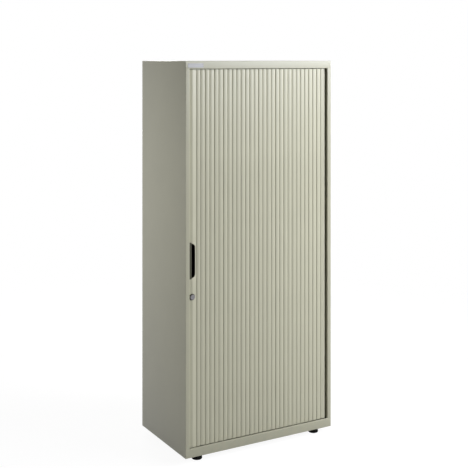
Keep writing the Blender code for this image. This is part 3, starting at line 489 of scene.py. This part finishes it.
def make_base():
    """The base panel: bottom rail, floor and lips, with a threaded boss over each foot."""
    low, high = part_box("base_panel")
    half = SHEET / 2
    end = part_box("right_side_panel")[1].x - SHEET - SEAM
    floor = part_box("right_liner")[0].z - PIN_STEP - half
    step = low.y + RAIL_LIP + half
    rear = high.y - half
    path = [(low.y + BASE_LIP, low.z + half), (low.y + half, low.z + half), (low.y + half, high.z - half)]
    path += [(step, high.z - half), (step, floor), (rear, floor), (rear, low.z + half)]
    path += [(rear - BASE_LIP, low.z + half)]
    base = folded_sheet("carcass_base", path, 0, -end, end)
    bosses = bmesh.new()
    holes = bmesh.new()
    stem_low, stem_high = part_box("foot_stem_front_left")
    hole = (stem_high.x - stem_low.x) / 2 + STEM_CLEAR
    for place in foot_names():
        middle = middle_of(f"foot_stem_{place}")
        centre = (middle.x, middle.y)
        add_prism(bosses, circle(hole + BOSS_WALL, BOSS_SIDES, centre), 2, low.z + half, low.z + BOSS_HEIGHT)
        add_prism(holes, circle(hole, BOSS_SIDES, centre), 2, low.z - OVERRUN, floor - SHEET)
    combine(base, thing_of("bosses", bosses), "UNION", SHEET_SHARP)
    combine(base, thing_of("boss_holes", holes), "DIFFERENCE", SHEET_SHARP)
    stand_for(base, "base_panel")


def rib_profile(start, end, crest, shoulder):
    """(across, depth) points over a rib: round shoulders and a slight crown between them."""
    middle = (start + end) / 2
    slope = math.atan2(2 * RIB_CROWN, middle - start - shoulder)
    level = crest + RIB_CROWN + shoulder * math.cos(slope)
    left = []
    for step in range(RIB_STEPS + 1):
        angle = (math.pi / 2 - slope) * step / RIB_STEPS
        left.append((start + shoulder * (1 - math.cos(angle)), level - shoulder * math.sin(angle)))
    reach = middle - left[-1][0]
    for step in range(1, RIB_STEPS):
        share = 1 - step / RIB_STEPS
        left.append((middle - reach * share, crest + RIB_CROWN * share * share))
    return left + [(middle, crest)] + [(start + end - x, depth) for x, depth in reversed(left)]


def slat_outline(pitch, left, with_tongue, extra=0.0):
    """(across, depth) outline of a slat from its left edge: ribs in front and behind, and a tongue."""
    right = pitch + extra - JOINT_GAP / 2
    rib = pitch / RIBS_PER_SLAT
    groove = GROOVE_WIDTH / 2
    front = [(left, EDGE_DEPTH)]
    behind = [(left + SLAT_WALL, EDGE_DEPTH)]
    for index in range(RIBS_PER_SLAT):
        start = index * rib + groove if index else left
        end = right if index == RIBS_PER_SLAT - 1 else (index + 1) * rib - groove
        if index:
            front.append((index * rib, GROOVE_DEPTH))
            behind.append((index * rib, GROOVE_DEPTH + SLAT_WALL))
        front += rib_profile(start, end, 0, RIB_SHOULDER)
        behind += rib_profile(start + SLAT_WALL, end - SLAT_WALL, SLAT_WALL, RIB_SHOULDER - SLAT_WALL)
    tongue = SLAT_DEPTH - TONGUE_WALL
    front.append((right, tongue))
    if with_tongue:
        tip = pitch + TONGUE_LENGTH
        front += [(tip, tongue), (tip, SLAT_DEPTH), (right - SLAT_WALL, SLAT_DEPTH)]
    else:
        front.append((right - SLAT_WALL, tongue))
    return front + behind[::-1]


def add_pins(shape, x, start, low, high):
    """Add a joint's guide pins and the lugs that carry them at both ends of a slat."""
    far = SLAT_DEPTH - TONGUE_WALL - PIN_STEP
    end = start + math.copysign(LUG_LENGTH, start - x)
    for level, up in ((low, -1), (high, 1)):
        inner = level - up * LUG_HEIGHT
        step = level + up * PIN_STEP
        outer = level + up * LUG_RISE
        outline = [(start, inner), (end, inner), (end, outer), (x, outer), (x, step), (start, step)]
        add_prism(shape, outline, 1, LUG_DEPTH, far)
        pin = circle(PIN_RADIUS, PIN_SIDES, (x, SLAT_DEPTH / 2))
        add_prism(shape, pin, 2, *sorted((step, level + up * PIN_LENGTH)))


def slat_sizes():
    """Pitch, first joint, end of the last slat, crest, and lowest and highest level of the slats."""
    first, second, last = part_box("slat_01"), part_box("slat_02"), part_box("slat_15")
    pitch = second[0].x - first[0].x
    start = first[0].x + PIN_RADIUS
    end = last[1].x + JOINT_GAP / 2
    return pitch, start, end, first[0].y, first[0].z + PIN_LENGTH, first[1].z - PIN_LENGTH


def curtain_span():
    """Lowest and highest level of the curtain's face, which ends just short of both rails."""
    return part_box("base_panel")[1].z + FOOT_SHOW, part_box("top_panel")[0].z - HEAD_SHOW


def make_curtain():
    """The slats of the front and the tail slat, with finer ribs than the CAD's."""
    pitch, start, end, crest, low, high = slat_sizes()
    foot, head = curtain_span()
    for number in range(1, SLAT_COUNT + 1):
        last = number == SLAT_COUNT
        extra = end - start - SLAT_COUNT * pitch if last else 0.0
        left = JOINT_GAP / 2 if number > 1 else JOINT_GAP / 2 + LATH_LAP
        shape = bmesh.new()
        add_prism(shape, slat_outline(pitch, left, not last, extra), 2, foot, head)
        add_pins(shape, 0, left, low, high)
        slat = thing_of(f"curtain_slat_{number:02d}", shape, sharp=CURTAIN_SHARP)
        place = (start + (number - 1) * pitch, crest + (number - 1) * STACK_STEP, 0)
        stand_for(slat, f"slat_{number:02d}", place)
    shape = bmesh.new()
    add_prism(shape, slat_outline(pitch, TAIL_GAP, False), 2, foot, head)
    add_pins(shape, 0, TAIL_GAP, low, high)
    add_pins(shape, pitch, pitch - JOINT_GAP / 2, low, high)
    angle = math.acos(CORNER_RADIUS / pitch)
    half = SLAT_DEPTH / 2
    place = (end + math.sin(angle) * half, crest + half - math.cos(angle) * half, 0)
    stand_for(thing_of("curtain_tail_slat", shape, sharp=CURTAIN_SHARP), "tail_slat", place, angle)


def handle_outline(margin, left_margin):
    """(x, z) outline of the handle, grown by a margin: a tall grip at the left, a shorter cup beside it."""
    low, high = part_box("handle_pull")
    grip = low.x + HANDLE_GRIP + margin
    cup_low = low.z - margin + HANDLE_CUP_STEP
    cup_high = high.z + margin - HANDLE_CUP_STEP
    left = low.x - left_margin
    right = high.x + margin
    corners = [(left, low.z - margin), (grip, low.z - margin), (grip, cup_low), (right, cup_low)]
    corners += [(right, cup_high), (grip, cup_high), (grip, high.z + margin), (left, high.z + margin)]
    radii = [HANDLE_EDGE, HANDLE_GRIP_CORNER, HANDLE_FILLET, HANDLE_CORNER + margin]
    return round_corners(corners, radii + radii[::-1], HANDLE_STEPS)


def cutter_of(outline, axis, low, high):
    """A prism to cut with."""
    shape = bmesh.new()
    add_prism(shape, outline, axis, low, high)
    return thing_of("cutter", shape)


def make_lath():
    """The broad leading lath, its face rising to a soft ridge, open for the handle and the lock."""
    pitch, start, end, crest, low, high = slat_sizes()
    foot, head = curtain_span()
    box_low, box_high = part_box("leading_lath")
    left = box_low.x
    right = start - JOINT_GAP / 2 + LATH_LAP
    back = box_high.y
    face = [(left, LATH_LEFT_FALL), (left + LATH_RIDGE, 0), (right, LATH_RIGHT_FALL)]
    stations = rounded(face, LATH_RIDGE_RADIUS, LATH_RIDGE_STEPS)
    outline = [(left, back)]
    outline += [(point.x, crest + point.y - LATH_RISE) for point, normal in stations]
    tongue = crest + SLAT_DEPTH - TONGUE_WALL
    tip = start + TONGUE_LENGTH + LATH_LAP
    outline += [(right, tongue), (tip, tongue), (tip, crest + SLAT_DEPTH)]
    outline += [(right, crest + SLAT_DEPTH), (right, back)]
    shape = bmesh.new()
    add_prism(shape, outline, 2, foot, head)
    for x in (left + LATH_PIN_INSET, right - LATH_PIN_INSET):
        pin = circle(PIN_RADIUS, PIN_SIDES, (x, crest + SLAT_DEPTH / 2))
        add_prism(shape, pin, 2, low - PIN_LENGTH, foot)
        add_prism(shape, pin, 2, head, high + PIN_LENGTH)
    lath = thing_of("curtain_lath", shape, sharp=CURTAIN_SHARP)
    front = box_low.y - OVERRUN
    opening = cutter_of(handle_outline(HANDLE_GAP, OVERRUN), 1, front, back + OVERRUN)
    combine(lath, opening, sharp=CURTAIN_SHARP)
    lock = middle_of("lock_collar")
    centre = (lock.x, lock.z)
    collar_low, collar_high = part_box("lock_collar")
    rim = (collar_high.x - collar_low.x) / 2 + LOCK_GAP
    seat = cutter_of(circle(rim, LOCK_SIDES, centre), 1, front, crest + COLLAR_SEAT)
    combine(lath, seat, sharp=CURTAIN_SHARP)
    hole = circle(BODY_RADIUS + LOCK_GAP, LOCK_SIDES, centre)
    combine(lath, cutter_of(hole, 1, front, back + OVERRUN), sharp=CURTAIN_SHARP)
    stand_for(lath, "leading_lath")


def make_handle():
    """The moulded handle: a tall grip with soft edges, and beside it the cup for the fingers."""
    low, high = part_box("handle_pull")
    shape = bmesh.new()
    add_prism(shape, handle_outline(0, 0), 1, low.y, high.y)
    handle = thing_of("door_handle", shape)
    grip = low.x + HANDLE_GRIP
    right = high.x - HANDLE_WALL
    cup_low = low.z + HANDLE_CUP_STEP + HANDLE_WALL
    cup_high = high.z - HANDLE_CUP_STEP - HANDLE_WALL
    corners = [(grip, cup_low), (right, cup_low), (right, cup_high), (grip, cup_high)]
    corner = HANDLE_CORNER - HANDLE_WALL
    outline = round_corners(corners, [HANDLE_EDGE, corner, corner, HANDLE_EDGE], HANDLE_STEPS)
    combine(handle, cutter_of(outline, 1, low.y - OVERRUN, high.y - HANDLE_WALL))
    bevel(handle, HANDLE_ROUND, HANDLE_ROUND_STEPS, HANDLE_ROUND_ANGLE)
    stand_for(handle, "handle_pull")


def make_lock():
    """The lock: a tapered black collar, and a metal plug with a ring, a soft rim and a slanting keyway."""
    collar_low, collar_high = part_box("lock_collar")
    head_low, head_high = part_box("lock_barrel")
    centre = middle_of("lock_collar")
    axis = (centre.x, 0, centre.z)
    radius = (collar_high.x - collar_low.x) / 2
    head = (head_high.x - head_low.x) / 2
    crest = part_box("slat_01")[0].y
    hole = head + LOCK_GAP
    profile = [(hole, -collar_high.y), (radius, -collar_high.y), (radius, -crest)]
    profile += [(COLLAR_FACE_RADIUS, -collar_low.y), (hole, -collar_low.y), (hole, -collar_high.y)]
    shape = bmesh.new()
    add_turned(shape, rounded_profile(profile, COLLAR_ROUND, ROUND_STEPS), LOCK_SIDES, axis, True)
    bmesh.ops.remove_doubles(shape, verts=shape.verts, dist=MERGE_DISTANCE)
    stand_for(thing_of("lock_rose", shape), "lock_collar")

    face = -head_low.y
    step = -(crest + HEAD_SEAT)
    shoulder = -(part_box("leading_lath")[1].y + BODY_END)
    ring = (PLUG_RING, PLUG_RING + PLUG_RING_WIDTH)
    profile = [(0, -head_high.y), (TANG_RADIUS, -head_high.y), (TANG_RADIUS, shoulder)]
    profile += [(BODY_RADIUS, shoulder), (BODY_RADIUS, step), (head, step), (head, face - HEAD_ROUND)]
    for k in range(1, ROUND_STEPS + 1):
        angle = math.pi / 2 * k / ROUND_STEPS
        profile.append((head - HEAD_ROUND * (1 - math.cos(angle)), face - HEAD_ROUND * (1 - math.sin(angle))))
    profile += [(ring[1], face), (ring[1], face - PLUG_RING_DEPTH), (ring[0], face - PLUG_RING_DEPTH)]
    profile += [(ring[0], face), (0, face)]
    shape = bmesh.new()
    add_turned(shape, profile, LOCK_SIDES, axis, True)
    plug = thing_of("lock_plug_face", shape)
    keyway = bmesh.new()
    half = (KEYWAY_LENGTH / 2, KEYWAY_WIDTH / 2)
    add_box(keyway, (-half[0], head_low.y - OVERRUN, -half[1]), (half[0], head_low.y + KEYWAY_DEPTH, half[1]))
    bmesh.ops.rotate(keyway, verts=keyway.verts, matrix=Matrix.Rotation(math.radians(KEYWAY_ANGLE), 3, "Y"))
    bmesh.ops.translate(keyway, verts=keyway.verts, vec=axis)
    combine(plug, thing_of("cutter", keyway))
    stand_for(plug, "lock_barrel")


def make_feet():
    """The feet's pads: wide low discs with soft rims."""
    for place in foot_names():
        cad_node = f"foot_pad_{place}"
        low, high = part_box(cad_node)
        stem_low, stem_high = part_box(f"foot_stem_{place}")
        middle = middle_of(cad_node)
        radius = (high.x - low.x) / 2
        socket = (stem_high.x - stem_low.x) / 2 + STEM_CLEAR
        seat = high.z - PAD_SOCKET_DEPTH
        profile = [(0, low.z), (PAD_FLOOR_RADIUS, low.z), (radius, PAD_WIDEST_HEIGHT - PAD_RIM)]
        profile += [(radius, PAD_WIDEST_HEIGHT + PAD_RIM), (PAD_NECK_RADIUS, high.z), (socket, high.z)]
        profile += [(socket, seat), (0, seat)]
        profile = rounded_profile(profile, PAD_ROUND, ROUND_STEPS)
        shape = bmesh.new()
        add_turned(shape, profile, PAD_SIDES, (middle.x, middle.y, 0))
        stand_for(thing_of(f"foot_disc_{place}", shape), cad_node)


def make_plate():
    """The blank name plate, its field sunk inside a narrow rim."""
    low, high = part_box("badge_plate")
    outlines = []
    for inset in (0, PLATE_RIM):
        left, right = low.x + inset, high.x - inset
        bottom, top = low.z + inset, high.z - inset
        corners = [(left, bottom), (right, bottom), (right, top), (left, top)]
        outlines.append(round_corners(corners, [PLATE_CORNER - inset] * 4, HANDLE_STEPS))
    shape = bmesh.new()
    add_prism(shape, outlines[0], 1, low.y, high.y)
    plate = thing_of("name_plate", shape)
    combine(plate, cutter_of(outlines[1], 1, low.y - OVERRUN, low.y + PLATE_FIELD_DEPTH))
    stand_for(plate, "badge_plate")


def seen_by(tree):
    """1 for camera, glossy and transmission rays, which see the background, and 0 for the rest."""
    path = node(tree, "ShaderNodeLightPath")
    total = path.outputs["Is Camera Ray"]
    for kind in ("Is Glossy Ray", "Is Transmission Ray"):
        either = node(tree, "ShaderNodeMath", operation="MAXIMUM")
        tree.links.new(total, either.inputs[0])
        tree.links.new(path.outputs[kind], either.inputs[1])
        total = either.outputs[0]
    return total


def make_stage():
    """Pale floor: near white where it is seen. Where it only sends light back it is grey, with painted shade
    darkening it close to the cabinet.
    """
    shape = bmesh.new()
    bmesh.ops.create_circle(shape, cap_ends=True, radius=FLOOR_RADIUS, segments=FLOOR_SIDES)
    floor = thing_of("floor", shape)
    floor.location = (0, 0, -FLOOR_DROP)
    material = bpy.data.materials.new("pale_floor")
    tree, output = nodes_of(material)
    link = tree.links.new
    place = node(tree, "ShaderNodeTexCoord")
    far = node(tree, "ShaderNodeVectorMath", operation="LENGTH")
    link(place.outputs["Object"], far.inputs[0])
    fade = node(tree, "ShaderNodeMapRange", From_Min=FADE_FROM, From_Max=FADE_TO,
                interpolation_type="SMOOTHSTEP")
    link(far.outputs["Value"], fade.inputs["Value"])
    shown = node(tree, "ShaderNodeBsdfDiffuse", Color=FLOOR_SHOWN)
    glow = node(tree, "ShaderNodeEmission", Color=(1, 1, 1, 1), Strength=FLOOR_GLOW)
    both = node(tree, "ShaderNodeAddShader")
    link(shown.outputs["BSDF"], both.inputs[0])
    link(glow.outputs["Emission"], both.inputs[1])
    clear = node(tree, "ShaderNodeBsdfTransparent")
    faded = node(tree, "ShaderNodeMixShader")
    link(fade.outputs["Result"], faded.inputs["Fac"])
    link(both.outputs["Shader"], faded.inputs[1])
    link(clear.outputs["BSDF"], faded.inputs[2])
    # Painted shade: the grey sent back is darkened close to the cabinet, in a stretched ring round it
    flat = node(tree, "ShaderNodeVectorMath", operation="MULTIPLY")
    flat.inputs[1].default_value = PAINTED_SHADE_SHAPE
    link(place.outputs["Object"], flat.inputs[0])
    apart = node(tree, "ShaderNodeVectorMath", operation="LENGTH")
    link(flat.outputs["Vector"], apart.inputs[0])
    near = node(tree, "ShaderNodeMapRange", From_Min=PAINTED_SHADE_FROM, From_Max=PAINTED_SHADE_TO,
                interpolation_type="SMOOTHSTEP")
    link(apart.outputs["Value"], near.inputs["Value"])
    grey_with_painted_shade = node(tree, "ShaderNodeMixRGB", Color1=FLOOR_PAINTED_SHADE, Color2=FLOOR_FAR)
    link(near.outputs["Result"], grey_with_painted_shade.inputs["Fac"])
    plain = node(tree, "ShaderNodeBsdfDiffuse")
    link(grey_with_painted_shade.outputs["Color"], plain.inputs["Color"])
    mixed = node(tree, "ShaderNodeMixShader")
    link(seen_by(tree), mixed.inputs["Fac"])
    link(plain.outputs["BSDF"], mixed.inputs[1])
    link(faded.outputs["Shader"], mixed.inputs[2])
    link(mixed.outputs["Shader"], output.inputs["Surface"])
    floor.data.materials.append(material)


def area_light(name, place, target, power, size, colour):
    """A soft lamp that faces a point."""
    data = bpy.data.lights.new(name, "AREA")
    data.shape = "RECTANGLE"
    data.size, data.size_y = size
    data.energy = power
    data.color = colour
    lamp = bpy.data.objects.new(name, data)
    lamp.location = place
    lamp.rotation_euler = (Vector(target) - Vector(place)).to_track_quat("-Z", "Y").to_euler()
    lamp.visible_camera = False
    bpy.context.scene.collection.objects.link(lamp)
    return lamp


def make_light():
    """A white background, a dim room for diffuse light, and the soft lamps."""
    world = bpy.data.worlds.new("studio")
    bpy.context.scene.world = world
    world.use_nodes = True
    tree = world.node_tree
    tree.nodes.clear()
    link = tree.links.new
    seen = node(tree, "ShaderNodeBackground", Color=(1, 1, 1, 1), Strength=1.0)
    room = node(tree, "ShaderNodeBackground", Color=ROOM_COLOUR, Strength=ROOM)
    mix = node(tree, "ShaderNodeMixShader")
    output = node(tree, "ShaderNodeOutputWorld")
    link(seen_by(tree), mix.inputs["Fac"])
    link(room.outputs["Background"], mix.inputs[1])
    link(seen.outputs["Background"], mix.inputs[2])
    link(mix.outputs["Shader"], output.inputs["Surface"])
    for name, lamp in LAMPS.items():
        area_light(name, *lamp)


def make_camera():
    """The camera of the photograph: level, with its lens shifted."""
    data = bpy.data.cameras.new("camera")
    data.sensor_width = SENSOR_WIDTH
    data.lens = CAMERA_LENS
    data.shift_y = CAMERA_SHIFT
    camera = bpy.data.objects.new("camera", data)
    camera.location = CAMERA_PLACE
    camera.rotation_euler = (math.radians(90), 0, math.radians(CAMERA_TURN))
    bpy.context.scene.collection.objects.link(camera)
    bpy.context.scene.camera = camera


bpy.context.scene.view_settings.view_transform = "Standard"
dress_frame()
make_side_panel("carcass_side_left", "left_side_panel", -1)
make_side_panel("carcass_side_right", "right_side_panel", 1)
make_top()
make_base()
make_curtain()
make_lath()
make_handle()
make_lock()
make_feet()
make_plate()
make_stage()
make_light()
make_camera()
